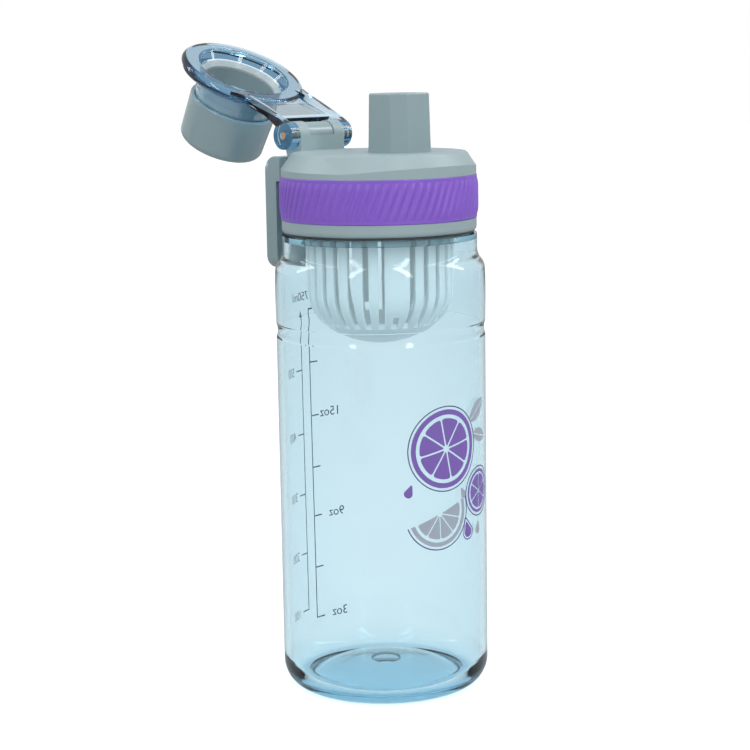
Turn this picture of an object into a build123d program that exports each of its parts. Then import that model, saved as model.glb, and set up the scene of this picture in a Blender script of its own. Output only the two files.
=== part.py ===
from build123d import *
from math import cos, sin, radians
import os

# Fruit infuser water bottle, lengths in millimetres, angles in degrees.
# The origin is the centre of the base, +Z is up, and the lid's hinge is at the back, on +Y.
# The lid is modelled thrown open, as it stands while someone drinks.
# Radii follow the body's, heights follow the cap's lower edge, and the lid follows the spout.

os.makedirs("parts", exist_ok=True)

# shared fits
running_gap = 0.06      # a pin turning in its knuckle
seal_gap = 0.1          # a silicone face on the face it closes
joint_gap = 0.4         # parts that swing or slide past each other
press_gap = 0.05        # pieces pushed together for good
side_gap = 0.15         # between neighbours along the pin
overrun = 3.0           # how far a cutter runs past what it cuts
pick_slack = 0.02       # how near an edge's radius must be when edges are picked for rounding
upright_share = 0.9     # an edge that rises this steeply counts as upright
corner_share = 0.552    # makes a Bezier curve a quarter of an ellipse

# clear bottle
body_r = 39.0
lip_z = 172.0           # lower edge of the cap
body_wall = 2.2
foot_inset = 7.2        # from the body in to the ring that the bottle stands on
foot_land = 2.0
corner_height = 9.0
punt_rise = 6.0         # how far the middle of the base is pushed up
punt_flat_share = 0.6   # how far out the middle of the base stays nearly flat
floor_thickness = 2.4
floor_step = 1.0        # raised ring inside, where the floor meets the wall
gate_r = 5.6            # dimple left by the mould's gate
gate_depth = 0.9
groove_drop = 21.9      # shallow ring pressed into the wall, this far below the shoulder
groove_half = 2.6
groove_depth = 0.5
bulge_drop = 8.0
bulge = 0.25
shoulder_drop = 14.5    # the wall turns in this far below the cap
collar_drop = 7.0       # and is upright again here
collar_step = 0.1       # how far the collar stands out past the cap
neck_inset = 7.0        # from the body in to the neck
neck_wall = 2.6
neck_height = 15.4
lip_gap = 1.2           # between the collar's flat top and the cap's lower edge
thread_depth = 1.1      # room between the neck and the cap for the screw thread
edge_round = 0.6

# infuser basket
basket_gap = 1.9        # between the basket and the bore
basket_wall = 1.6
basket_dome_drop = 21.3     # the dome starts this far below the cap
basket_dome_depth = 20.0
basket_flange = 1.6
flange_overhang = 0.2
basket_taper = 3.0      # height over which the basket widens into the neck
taper_lift = 1.0        # it starts this far above the slots' tops, level with the cap's lower edge
slot_count = 30
wide_bar_count = 2      # places where the slot stays short and two bars are one
lead_slot_count = 5     # slots before the first of them
slot_width = 2.2
slot_turn = -2.0        # the basket can be hung any way round
disc_inset = 6.6        # from the basket's wall in to the solid middle of its bottom
short_slot_drop = 8.4   # top of the short slots, below the dome's start

# cap
liner_wall = 1.2
liner_plate = 1.7
liner_lift = 1.2        # the inner cap ends this far above the outer one's lower edge
cap_wall = 1.75
lip_inset = 0.8
lip_round = 1.6
band_lift = 4.5         # from the lip up to the grip band
band_height = 16.0
band_depth = 0.9
band_proud = 0.2
band_round = 0.4
top_rise = 8.5          # from the band up to the flat top
slope_run = 4.5         # how far in the flat top starts
top_round = 1.6
front_crease = 0.3      # the sloping shoulder meets the wall this far above the band
front_tilt = 6.3        # and rises towards the front
back_crease = 2.2
back_tilt = 1.0
top_wall = 2.0
gasket_thickness = 1.6
gasket_width = 3.7

# drinking spout
spout_height = 21.3
spout_offset = 11.1     # from the bottle's axis towards the front
spout_flat_half = 10.4  # half the width across the wide flats, at the cap's top
spout_corner_cut = 4.7
spout_top_scale = 0.95
spout_wall = 2.08       # at the mouth, across the flats
spout_edge_round = 1.4

# hinge
hinge_inset = 1.3       # from the cap's side in to the pin
hinge_rise = 5.7        # from the cap's top up to the pin
pin_r = 1.4
pin_bevel = 0.15
barrel_inset = 0.5      # the loop's barrel is this much slimmer than the lid's knuckles
ear_inset = 0.1
barrel_width = 12.2
ear_width = 5.0
knuckle_width = 4.2
block_front = 8.3       # the flat block behind the top that carries the ears, from the pin
block_back = 2.2
block_drop = 8.1
block_round = 1.2
web_slot_floor = 3.2    # how deep the carry loop's web is let into the block
web_slot_lead = 1.6     # the slot's floor starts this far behind the pin

# flip lid
open_angle = 28.5       # of the open lid above level
spout_room = 2.39       # between the spout's corners and the cup round them
bowl_wall = 0.9
sleeve_wall = 0.9
sleeve_flare = 1.2      # how much wider the sleeve gets where it meets the ring
sleeve_step = 0.4
sleeve_flare_depth = 3.4
sleeve_step_depth = 7.0
seat_step = 0.5         # seat of the white ring, in the top of the sleeve
seat_depth = 2.9
mouth_slope_run = 2.3   # sloping inner wall of the ring
mouth_slope_depth = 3.6
mouth_round = 0.8
ring_width = 6.8
ring_front = 2.6        # the ring's two faces, measured from the pin
ring_back = -1.4
ring_edge_round = 2.0
ring_step = 0.8         # how far the ring stands above the plate where they meet
plate_lift = 4.2        # height of the plate's face above the pin, beside the hinge
plate_thickness = 2.0
rail_width = 2.0        # raised edge along both sides of the plate
rail_thickness = 2.6
rail_start_share = 0.34
rail_end_share = 0.7
rail_end_lift = 2.0
waist_turn = 50.0       # how far round the ring the plate's sides run in
waist_straight = 8.0
waist_pull = 9.0        # strength of the curve at the plate's two ends
waist_blend = 4.5
rim_seal_height = 1.0   # inner edge of the white ring on the cup's rim

# seal cup and its silicone seal
plug_height = 12.5
sleeve_reach = 0.5      # the sleeve ends this far past the seal's face
cup_overlap = 5.0       # how far the sleeve goes into the cup
cup_wall = 1.35
cup_draft = 0.7
cup_floor = 2.0
cup_round = 3.0
cup_rim_round = 0.3
plug_inset = 1.6
plug_flange = 1.8
seal_nose = 0.8         # raised middle that dips into the spout
nose_gap = 0.9

# carry loop
loop_gap = 0.45         # between the hanging loop and the bottle
loop_thickness = 6.0
loop_inset = 0.3        # from the end of the hinge in to the loop's side
loop_drop = 2.4         # from the cap's top down to the loop's
loop_length = 42.4
loop_round = 5.0
loop_edge_round = 1.6
loop_neck_gap = 0.5     # between the block and the top bar, which reaches in towards it
loop_side = 6.1         # width of the loop's bars
loop_top_bar = 9.1
loop_bottom_bar = 7.8
window_round = 3.6
web_low_angle = -72.0   # where the web leaves the barrel, below and behind the pin
web_high_angle = 18.0

# radii that follow
foot_r = body_r - foot_inset
inner_r = body_r - body_wall
neck_r = body_r - neck_inset
bore_r = neck_r - neck_wall
liner_inner_r = neck_r + thread_depth
liner_outer_r = liner_inner_r + liner_wall
shell_inner_r = liner_outer_r + press_gap
cap_r = shell_inner_r + cap_wall
collar_r = cap_r + collar_step
basket_r = bore_r - basket_gap

# heights that follow
collar_z = lip_z - collar_drop
shoulder_z = lip_z - shoulder_drop
bulge_z = shoulder_z - bulge_drop
groove_z = shoulder_z - groove_drop
neck_top = lip_z + neck_height
band_z = lip_z + band_lift
band_top_z = band_z + band_height
top_z = band_top_z + top_rise
spout_top_z = top_z + spout_height
hinge_z = top_z + hinge_rise
hinge_y = cap_r - hinge_inset


def quarter_round(start, corner, end):
    """Quarter of an ellipse from start to end, bulging towards corner."""
    start, corner, end = Vector(start), Vector(corner), Vector(end)
    lean_out = start + (corner - start) * corner_share
    lean_in = end + (corner - end) * corner_share
    return Bezier(start, lean_out, lean_in, end)


# clear bottle: one revolved wall of even thickness, thicker only at the neck

foot_inner_r = foot_r - foot_land
floor_z = floor_thickness + floor_step
floor_top_z = floor_thickness + punt_rise
ledge_z = lip_z - lip_gap
bore_step_z = ledge_z - body_wall

with BuildPart() as bottle_body:
    with BuildSketch(Plane.XZ):
        with BuildLine():
            punt = Bezier((0, punt_rise), (foot_inner_r * punt_flat_share, punt_rise), (foot_inner_r, 0))
            foot = Line(punt @ 1, (foot_r, 0))
            quarter_round(foot @ 1, (body_r, 0), (body_r, corner_height))
            low_wall = Line((body_r, corner_height), (body_r, groove_z - groove_half))
            groove = ThreePointArc(
                low_wall @ 1, (body_r - groove_depth, groove_z), (body_r, groove_z + groove_half)
            )
            high_wall = Bezier(
                groove @ 1,
                (body_r + bulge, bulge_z),
                (body_r + bulge, bulge_z),
                (body_r, shoulder_z),
            )
            mid = ((body_r + collar_r) / 2, (shoulder_z + collar_z) / 2)
            turn_in = TangentArc(high_wall @ 1, mid, tangent=(0, 1))
            turn_up = TangentArc(turn_in @ 1, (collar_r, collar_z), tangent=turn_in % 1)
            Polyline(
                turn_up @ 1,
                (collar_r, ledge_z),
                (neck_r, ledge_z),
                (neck_r, neck_top),
                (bore_r, neck_top),
                (bore_r, bore_step_z),
                (collar_r - body_wall, bore_step_z),
                (collar_r - body_wall, collar_z),
            )
            inner_mid = ((inner_r + collar_r - body_wall) / 2, (shoulder_z + collar_z) / 2)
            turn_out = TangentArc((collar_r - body_wall, collar_z), inner_mid, tangent=(0, -1))
            turn_down = TangentArc(turn_out @ 1, (inner_r, shoulder_z), tangent=turn_out % 1)
            Line(turn_down @ 1, (inner_r, groove_z + groove_half))
            ThreePointArc(
                (inner_r, groove_z + groove_half),
                (inner_r - groove_depth, groove_z),
                (inner_r, groove_z - groove_half),
            )
            Line((inner_r, groove_z - groove_half), (inner_r, corner_height + floor_thickness))
            quarter_round(
                (inner_r, corner_height + floor_thickness), (inner_r, floor_z), (foot_inner_r, floor_z)
            )
            ledge = Line((foot_inner_r, floor_z), (foot_inner_r - foot_land, floor_z - floor_step))
            Bezier(ledge @ 1, (foot_inner_r * punt_flat_share, floor_top_z), (0, floor_top_z))
            Line((0, floor_top_z), (0, punt_rise))
        make_face()
    revolve(axis=Axis.Z)
    with BuildSketch(Plane.XY):
        Circle(gate_r)
    extrude(amount=punt_rise + gate_depth, mode=Mode.SUBTRACT)
    rim_edges = bottle_body.edges().filter_by(GeomType.CIRCLE).filter_by_position(
        Axis.Z, neck_top - edge_round, neck_top
    )
    fillet(rim_edges, edge_round)
bottle_body.part.label = "bottle_body"
export_step(bottle_body.part, "parts/bottle_body.step")


# infuser basket: a thin domed cup hung by its flange and slotted into upright bars

flange_z = neck_top
flange_top_z = flange_z + basket_flange
basket_dome_z = lip_z - basket_dome_drop
basket_bottom_z = basket_dome_z - basket_dome_depth
basket_inner_r = basket_r - basket_wall
basket_neck_r = bore_r - joint_gap
basket_floor_z = basket_bottom_z + basket_wall
disc_r = basket_r - disc_inset
taper_z = lip_z + taper_lift
slot_turns = [slot_turn + 360 * n / slot_count for n in range(slot_count)]
short_turns = slot_turns[lead_slot_count :: slot_count // wide_bar_count]
long_turns = [turn for turn in slot_turns if turn not in short_turns]

with BuildPart() as slot_cutter:
    with BuildSketch(Plane.XZ):
        with BuildLine():
            Polyline(
                (disc_r, basket_bottom_z - overrun),
                (basket_r + overrun, basket_bottom_z - overrun),
                (basket_r + overrun, lip_z),
                (disc_r, lip_z),
                close=True,
            )
        make_face()
    extrude(amount=slot_width / 2, both=True)

with BuildPart() as short_cutter:
    add(slot_cutter.part)
    split(bisect_by=Plane.XY.offset(basket_dome_z - short_slot_drop), keep=Keep.BOTTOM)

with BuildPart() as infuser_basket:
    with BuildSketch(Plane.XZ):
        with BuildLine():
            quarter_round((0, basket_bottom_z), (basket_r, basket_bottom_z), (basket_r, basket_dome_z))
            Polyline(
                (basket_r, basket_dome_z),
                (basket_r, taper_z),
                (basket_neck_r, taper_z + basket_taper),
                (basket_neck_r, flange_z),
                (neck_r + flange_overhang, flange_z),
                (neck_r + flange_overhang, flange_top_z),
                (basket_neck_r - basket_wall, flange_top_z),
                (basket_neck_r - basket_wall, taper_z + basket_taper),
                (basket_inner_r, taper_z),
                (basket_inner_r, basket_dome_z),
            )
            quarter_round(
                (basket_inner_r, basket_dome_z),
                (basket_inner_r, basket_floor_z),
                (0, basket_floor_z),
            )
            Line((0, basket_floor_z), (0, basket_bottom_z))
        make_face()
    revolve(axis=Axis.Z)
    with Locations(*[Rotation(0, 0, turn) for turn in long_turns]):
        add(slot_cutter.part, mode=Mode.SUBTRACT)
    with Locations(*[Rotation(0, 0, turn) for turn in short_turns]):
        add(short_cutter.part, mode=Mode.SUBTRACT)
infuser_basket.part.label = "infuser_basket"
export_step(infuser_basket.part, "parts/infuser_basket.step")


# gasket: a flat silicone ring that the cap presses on the basket's flange

gasket_z = flange_top_z + seal_gap
liner_plate_z = gasket_z + gasket_thickness
liner_top_z = liner_plate_z + liner_plate
gasket_out_r = liner_inner_r - press_gap

with BuildPart() as cap_gasket:
    with BuildSketch(Plane.XY.offset(gasket_z)):
        Circle(gasket_out_r)
        Circle(gasket_out_r - gasket_width, mode=Mode.SUBTRACT)
    extrude(amount=gasket_thickness)
cap_gasket.part.label = "cap_gasket"
export_step(cap_gasket.part, "parts/cap_gasket.step")


# inner cap: the threaded cup inside the shell, with the eight-sided spout on it


def spout_outline(half_width, corner_cut):
    """Square with cut corners, as the spout is in plan."""
    square = Rectangle(2 * half_width, 2 * half_width)
    chamfer(square.vertices(), corner_cut)


def upright_edges(part):
    """The near-upright edges of a spout shape."""
    return part.edges().filter_by(lambda e: abs(e.tangent_at(0).Z) > upright_share)


def ring_edges(part, radius):
    """The round edges of one radius."""
    round_edges = part.edges().filter_by(GeomType.CIRCLE)
    return round_edges.filter_by(lambda e: abs(e.radius - radius) < pick_slack)


liner_bottom_z = lip_z + liner_lift
spout_foot_z = liner_plate_z
spout_slope = spout_flat_half * (1 - spout_top_scale) / spout_height
spout_top_half = spout_flat_half * spout_top_scale
spout_bore_r = spout_top_half - spout_wall
spout_foot_half = spout_flat_half + spout_slope * (top_z - spout_foot_z)
spout_foot_cut = spout_corner_cut * spout_foot_half / spout_flat_half
spout_plane = Plane((0, -spout_offset, 0))

with BuildPart() as inner_cap:
    with BuildSketch(spout_plane.offset(spout_foot_z)):
        spout_outline(spout_foot_half, spout_foot_cut)
    with BuildSketch(spout_plane.offset(spout_top_z)):
        spout_outline(spout_top_half, spout_corner_cut * spout_top_scale)
    loft()
    fillet(upright_edges(inner_cap), spout_edge_round)
    with BuildSketch(Plane.XZ):
        with BuildLine():
            Polyline(
                (0, liner_top_z),
                (liner_outer_r, liner_top_z),
                (liner_outer_r, liner_bottom_z),
                (liner_inner_r, liner_bottom_z),
                (liner_inner_r, liner_plate_z),
                (0, liner_plate_z),
                close=True,
            )
        make_face()
    revolve(axis=Axis.Z)
    with BuildSketch(spout_plane.offset(spout_foot_z - overrun)):
        Circle(spout_bore_r)
    extrude(amount=spout_top_z - spout_foot_z + 2 * overrun, mode=Mode.SUBTRACT)
    fillet(inner_cap.faces().sort_by(Axis.Z)[-1].edges(), edge_round)
inner_cap.part.label = "inner_cap"
export_step(inner_cap.part, "parts/inner_cap.step")


# cap shell: outer cover with a sloped shoulder, a recess for the grip and the hinge's ears
# the shoulder is the higher of two cones, one rising to the front and one to the back,
# so its lower edge dips where they cross and sweeps up over the front

ledge_r = liner_outer_r - liner_wall
lip_r = cap_r - lip_inset
top_r = cap_r - slope_run
band_seat_r = cap_r - band_depth
ear_inner_x = barrel_width / 2 + side_gap
ear_outer_x = ear_inner_x + ear_width
knuckle_r = hinge_rise - joint_gap
barrel_r = knuckle_r - barrel_inset
ear_r = knuckle_r - ear_inset
block_front_y = hinge_y - block_front
block_back_y = hinge_y + block_back
block_foot_z = top_z - block_drop
web_floor_z = top_z - web_slot_floor


def cap_top(crease_lift, tilt):
    """Top of the cap under one leaning shoulder cone, with its upper edge rounded."""
    cone_plane = Plane((0, 0, band_top_z + crease_lift)).rotated((tilt, 0, 0))
    rise = top_rise - crease_lift
    with BuildPart() as top:
        with BuildSketch(Plane.XY.offset(band_top_z)):
            Circle(cap_r)
        extrude(amount=top_rise)
        with BuildSketch(Plane(cone_plane.origin, x_dir=cone_plane.x_dir, z_dir=-cone_plane.y_dir)):
            with BuildLine():
                Polyline(
                    (cap_r - 2 * slope_run, 2 * rise),
                    (cap_r + slope_run, -rise),
                    (cap_r + 2 * slope_run, -rise),
                    (cap_r + 2 * slope_run, 2 * rise),
                    close=True,
                )
            make_face()
        revolve(axis=Axis(cone_plane.origin, cone_plane.z_dir), mode=Mode.SUBTRACT)
        fillet(top.faces().sort_by(Axis.Z)[-1].edges(), top_round)
    return top.part


front_top = cap_top(front_crease, -front_tilt)
back_top = cap_top(back_crease, back_tilt)

with BuildPart() as spout_hole:
    with BuildSketch(spout_plane.offset(liner_plate_z)):
        spout_outline(spout_foot_half + press_gap, spout_foot_cut)
    with BuildSketch(spout_plane.offset(spout_top_z)):
        spout_outline(spout_top_half + press_gap, spout_corner_cut * spout_top_scale)
    loft()
    fillet(upright_edges(spout_hole), spout_edge_round)

with BuildPart() as hinge_block:
    # block that carries the ears, flush with the top
    with BuildSketch(Plane.XY.offset(block_foot_z)):
        with Locations((0, (block_front_y + block_back_y) / 2)):
            RectangleRounded(2 * ear_outer_x, block_back_y - block_front_y, block_round)
    extrude(amount=top_z - block_foot_z)
    # ears, rounded about the pin
    with BuildSketch(Plane.YZ.offset(-ear_outer_x)):
        with BuildLine():
            ear_back = Line((hinge_y + ear_r, hinge_z), (block_back_y, web_floor_z))
            Line(ear_back @ 1, (hinge_y - ear_r, web_floor_z))
            Line((hinge_y - ear_r, web_floor_z), (hinge_y - ear_r, hinge_z))
            ThreePointArc(
                (hinge_y - ear_r, hinge_z), (hinge_y, hinge_z + ear_r), (hinge_y + ear_r, hinge_z)
            )
        make_face()
        with Locations((hinge_y, hinge_z)):
            Circle(pin_r, mode=Mode.SUBTRACT)
    extrude(amount=2 * ear_outer_x)

# room between the ears for the loop's barrel and its web
with BuildPart() as barrel_room:
    with BuildSketch(Plane.YZ.offset(-ear_inner_x)):
        with Locations((hinge_y, hinge_z)):
            Circle(barrel_r + joint_gap)
        with BuildLine():
            Polyline(
                (hinge_y - barrel_r - joint_gap, hinge_z),
                (hinge_y - barrel_r - joint_gap, hinge_z + ear_r + overrun),
                (block_back_y + overrun, hinge_z + ear_r + overrun),
                (block_back_y + overrun, web_floor_z),
                (hinge_y + web_slot_lead, web_floor_z),
                (hinge_y, hinge_z - barrel_r - joint_gap),
                close=True,
            )
        make_face()
    extrude(amount=2 * ear_inner_x)

with BuildPart() as cap_shell:
    with BuildSketch(Plane.XZ):
        with BuildLine():
            lip_start = Line((shell_inner_r, lip_z), (lip_r, lip_z))
            lip_curve = quarter_round(lip_start @ 1, (cap_r, lip_z), (cap_r, lip_z + lip_round))
            Polyline(
                lip_curve @ 1,
                (cap_r, band_z),
                (band_seat_r, band_z),
                (band_seat_r, band_top_z),
                (0, band_top_z),
                (0, lip_z),
                (shell_inner_r, lip_z),
            )
        make_face()
    revolve(axis=Axis.Z)
    add(front_top)
    add(back_top)
    # hollow for the inner cap
    with BuildSketch(Plane.XZ):
        with BuildLine():
            Polyline(
                (0, top_z - top_wall),
                (top_r - cap_wall, top_z - top_wall),
                (ledge_r, liner_top_z + cap_wall),
                (ledge_r, liner_top_z),
                (shell_inner_r, liner_top_z),
                (shell_inner_r, lip_z),
                (0, lip_z),
                close=True,
            )
        make_face()
    revolve(axis=Axis.Z, mode=Mode.SUBTRACT)
    add(hinge_block.part)
    add(barrel_room.part, mode=Mode.SUBTRACT)
    add(spout_hole.part, mode=Mode.SUBTRACT)
cap_shell.part.label = "cap_shell"
export_step(cap_shell.part, "parts/cap_shell.step")


# grip band: soft ring seated in the shell's recess

with BuildPart() as grip_band:
    with BuildSketch(Plane.XZ):
        with BuildLine():
            Polyline(
                (band_seat_r, band_z),
                (cap_r + band_proud, band_z),
                (cap_r + band_proud, band_top_z),
                (band_seat_r, band_top_z),
                close=True,
            )
        make_face()
    revolve(axis=Axis.Z)
    fillet(ring_edges(grip_band, cap_r + band_proud), band_round)
grip_band.part.label = "grip_band"
export_step(grip_band.part, "parts/grip_band.step")


# hinge pin: through both knuckles, both ears and the loop's barrel

knuckle_inner_x = ear_outer_x + side_gap
hinge_half = knuckle_inner_x + knuckle_width

with BuildPart() as hinge_pin:
    with BuildSketch(Plane.YZ.offset(-hinge_half + side_gap)):
        with Locations((hinge_y, hinge_z)):
            Circle(pin_r)
    extrude(amount=2 * (hinge_half - side_gap))
    chamfer(hinge_pin.edges().filter_by(GeomType.CIRCLE), pin_bevel)
hinge_pin.part.label = "hinge_pin"
export_step(hinge_pin.part, "parts/hinge_pin.step")


# flip lid: ring, plate with raised sides, two knuckles and a sleeve, on the open lid's own plane
# the plane's origin is the pin, its y runs along the arm and its z out of the lid's closing side

lean = radians(open_angle)
arm_dir = Vector(0, cos(lean), sin(lean))
mouth_dir = Vector(0, -sin(lean), cos(lean))
arm_length = hinge_y + spout_offset     # so the closed lid's ring is centred on the spout
lid_plane = Plane((0, hinge_y, hinge_z), x_dir=(1, 0, 0), z_dir=mouth_dir)
ring_center = lid_plane.origin + arm_dir * arm_length
ring_section = Plane(ring_center, x_dir=(1, 0, 0), z_dir=-arm_dir)
ring_axis = Axis(ring_center, mouth_dir)
side_plane = Plane(lid_plane.origin, x_dir=arm_dir, z_dir=(1, 0, 0))

spout_corner_r = Vector(spout_flat_half, spout_flat_half - spout_corner_cut).length
bowl_r = spout_corner_r + spout_room
ring_hole_r = bowl_r + bowl_wall + press_gap
sleeve_r = ring_hole_r + sleeve_wall
seat_r = ring_hole_r + seat_step
ring_mouth_r = seat_r + mouth_slope_run
ring_r = ring_mouth_r + ring_width
seal_face = hinge_z - spout_top_z - joint_gap
sleeve_end = seal_face - sleeve_reach
seat_top = ring_front - mouth_slope_depth
seat_floor = seat_top - seat_depth
knuckle_hole_r = pin_r + running_gap
cutout_y = ear_r + joint_gap
ring_near_y = arm_length - ring_r
waist_x = ring_r * sin(radians(waist_turn))
waist_y = arm_length - ring_r * cos(radians(waist_turn))
waist_run = Vector(cos(radians(waist_turn)), sin(radians(waist_turn))) * waist_blend

with BuildPart() as lid_plate:
    with BuildSketch(side_plane.offset(-waist_x)):
        with BuildLine():
            rail_top = Bezier(
                (0, knuckle_r),
                (waist_y * rail_start_share, knuckle_r),
                (waist_y * rail_end_share, ring_front + rail_end_lift),
                (waist_y, ring_front),
            )
            Line(rail_top @ 1, (waist_y, ring_front - rail_thickness))
            Bezier(
                (waist_y, ring_front - rail_thickness),
                (waist_y * rail_end_share, ring_front + rail_end_lift - rail_thickness),
                (waist_y * rail_start_share, knuckle_r - rail_thickness),
                (0, 0),
            )
            Line((0, 0), (0, knuckle_r))
        make_face()
    extrude(amount=2 * waist_x)
    with BuildSketch(side_plane.offset(-hinge_half + rail_width)):
        with BuildLine():
            Polyline(
                (0, plate_lift),
                (cutout_y, plate_lift),
                (ring_near_y, ring_front - ring_step),
                (waist_y, ring_front - ring_step),
                (waist_y + overrun, 2 * knuckle_r),
                (0, 2 * knuckle_r),
                close=True,
            )
        make_face()
    extrude(amount=2 * (hinge_half - rail_width), mode=Mode.SUBTRACT)
    with BuildSketch(side_plane.offset(-hinge_half + rail_width)):
        with BuildLine():
            Polyline(
                (0, plate_lift),
                (cutout_y, plate_lift),
                (ring_near_y, ring_front - ring_step),
                (waist_y, ring_front - ring_step),
                (waist_y, ring_back + ring_step),
                (ring_near_y, ring_back + ring_step),
                (cutout_y, plate_lift - plate_thickness),
                (0, plate_lift - plate_thickness),
                close=True,
            )
        make_face()
    extrude(amount=2 * (hinge_half - rail_width))
    with BuildSketch(lid_plane.offset(-2 * knuckle_r)):
        with BuildLine():
            right_side = Bezier(
                (hinge_half, waist_straight),
                (hinge_half, waist_straight + waist_pull),
                (waist_x - waist_run.X, waist_y - waist_run.Y),
                (waist_x, waist_y),
            )
            mirror(right_side, about=Plane.YZ)
            Line((waist_x, waist_y), (-waist_x, waist_y))
            Polyline(
                (hinge_half, waist_straight),
                (hinge_half, 0),
                (-hinge_half, 0),
                (-hinge_half, waist_straight),
            )
        make_face()
    extrude(amount=4 * knuckle_r, mode=Mode.INTERSECT)

with BuildPart() as flip_lid:
    add(lid_plate.part)
    with BuildSketch(ring_section):
        with BuildLine():
            ring_mid = (ring_front + ring_back) / 2
            ring_top = Line((ring_r - ring_edge_round, ring_front), (ring_mouth_r + mouth_round, ring_front))
            quarter_round((ring_r, ring_mid), (ring_r, ring_front), ring_top @ 0)
            mouth_curve = quarter_round(
                ring_top @ 1, (ring_mouth_r, ring_front), (ring_mouth_r, ring_front - mouth_round)
            )
            Polyline(
                mouth_curve @ 1,
                (seat_r, seat_top),
                (seat_r, seat_floor),
                (ring_hole_r, seat_floor),
                (ring_hole_r, sleeve_end),
                (sleeve_r, sleeve_end),
                (sleeve_r, ring_back - sleeve_step_depth),
                (sleeve_r + sleeve_step, ring_back - sleeve_step_depth + sleeve_step),
                (sleeve_r + sleeve_step, ring_back - sleeve_flare_depth),
                (sleeve_r + sleeve_flare, ring_back),
                (ring_r - ring_edge_round / 2, ring_back),
                (ring_r, ring_mid),
            )
        make_face()
    revolve(axis=ring_axis)
    # the plate ends where the ring's mouth begins
    with BuildSketch(ring_section):
        with BuildLine():
            Polyline(
                (0, ring_front + overrun),
                (ring_mouth_r, ring_front + overrun),
                (ring_mouth_r, ring_front - mouth_round),
                (seat_r, seat_top),
                (seat_r, seat_floor),
                (0, seat_floor),
                close=True,
            )
        make_face()
    revolve(axis=ring_axis, mode=Mode.SUBTRACT)
    # knuckles round the pin
    with BuildSketch(Plane.YZ.offset(-hinge_half)):
        with Locations((hinge_y, hinge_z)):
            Circle(knuckle_r)
    extrude(amount=2 * hinge_half)
    with BuildSketch(Plane.YZ.offset(-hinge_half - overrun)):
        with Locations((hinge_y, hinge_z)):
            Circle(knuckle_hole_r)
    extrude(amount=2 * (hinge_half + overrun), mode=Mode.SUBTRACT)
    # gap between the knuckles for the ears and the barrel
    with BuildSketch(lid_plane.offset(-knuckle_r - overrun)):
        with Locations((0, (cutout_y - knuckle_r - overrun) / 2)):
            Rectangle(2 * knuckle_inner_x, cutout_y + knuckle_r + overrun)
    extrude(amount=2 * (knuckle_r + overrun), mode=Mode.SUBTRACT)
flip_lid.part.label = "flip_lid"
export_step(flip_lid.part, "parts/flip_lid.step")


# seal cup: closed cup on the lid's sleeve, with an inner wall that rises inside the sleeve

cup_r = sleeve_r + press_gap + cup_wall
cup_end_r = cup_r - cup_draft
cup_rim = sleeve_end + cup_overlap
cup_floor_n = seal_face - plug_height
cup_end = cup_floor_n - cup_floor

with BuildPart() as seal_cup:
    with BuildSketch(ring_section):
        with BuildLine():
            Polyline(
                (0, cup_floor_n),
                (0, cup_end),
                (cup_end_r, cup_end),
                (cup_r, cup_rim),
                (sleeve_r + press_gap, cup_rim),
                (sleeve_r + press_gap, sleeve_end - press_gap),
                (ring_hole_r - press_gap, sleeve_end - press_gap),
                (ring_hole_r - press_gap, seat_floor),
                (bowl_r, seat_floor),
                (bowl_r, cup_floor_n),
                close=True,
            )
        make_face()
    revolve(axis=ring_axis)
    fillet(ring_edges(seal_cup, cup_end_r), cup_round)
    fillet(ring_edges(seal_cup, cup_r), cup_rim_round)
seal_cup.part.label = "seal_cup"
export_step(seal_cup.part, "parts/seal_cup.step")


# rim seal: white silicone ring with a sloping face, seated in the sleeve on the cup's rim

with BuildPart() as rim_seal:
    with BuildSketch(ring_section):
        with BuildLine():
            Polyline(
                (bowl_r, seat_floor + press_gap),
                (seat_r - press_gap, seat_floor + press_gap),
                (seat_r - press_gap, seat_top - press_gap),
                (bowl_r, seat_floor + rim_seal_height),
                close=True,
            )
        make_face()
    revolve(axis=ring_axis)
rim_seal.part.label = "rim_seal"
export_step(rim_seal.part, "parts/rim_seal.step")


# spout seal: silicone plug in the bottom of the cup, which meets the spout's mouth

plug_r = bowl_r - plug_inset
nose_r = spout_bore_r - nose_gap

with BuildPart() as spout_seal:
    with BuildSketch(ring_section):
        with BuildLine():
            Polyline(
                (0, cup_floor_n),
                (bowl_r - press_gap, cup_floor_n),
                (bowl_r - press_gap, cup_floor_n + plug_flange),
                (plug_r, cup_floor_n + plug_flange),
                (plug_r, seal_face),
                (nose_r, seal_face),
                (nose_r - seal_nose, seal_face + seal_nose),
                (0, seal_face + seal_nose),
                close=True,
            )
        make_face()
    revolve(axis=ring_axis)
spout_seal.part.label = "spout_seal"
export_step(spout_seal.part, "parts/spout_seal.step")


# carry loop: rounded frame that hangs from the pin behind the cap

loop_half = hinge_half - loop_inset
loop_inner_y = max(body_r + bulge, cap_r) + loop_gap
loop_outer_y = loop_inner_y + loop_thickness
loop_neck_y = block_back_y + loop_neck_gap
loop_top_z = top_z - loop_drop
loop_bottom_z = loop_top_z - loop_length
loop_middle_z = (loop_bottom_z + loop_top_z) / 2
window_top_z = loop_top_z - loop_top_bar
window_bottom_z = loop_bottom_z + loop_bottom_bar
window_middle_z = (window_bottom_z + window_top_z) / 2
pin_centre = Vector(hinge_y, hinge_z)
web_low = pin_centre + Vector(barrel_r, 0).rotate(Axis.Z, web_low_angle)
web_high = pin_centre + Vector(barrel_r, 0).rotate(Axis.Z, web_high_angle)

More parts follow.
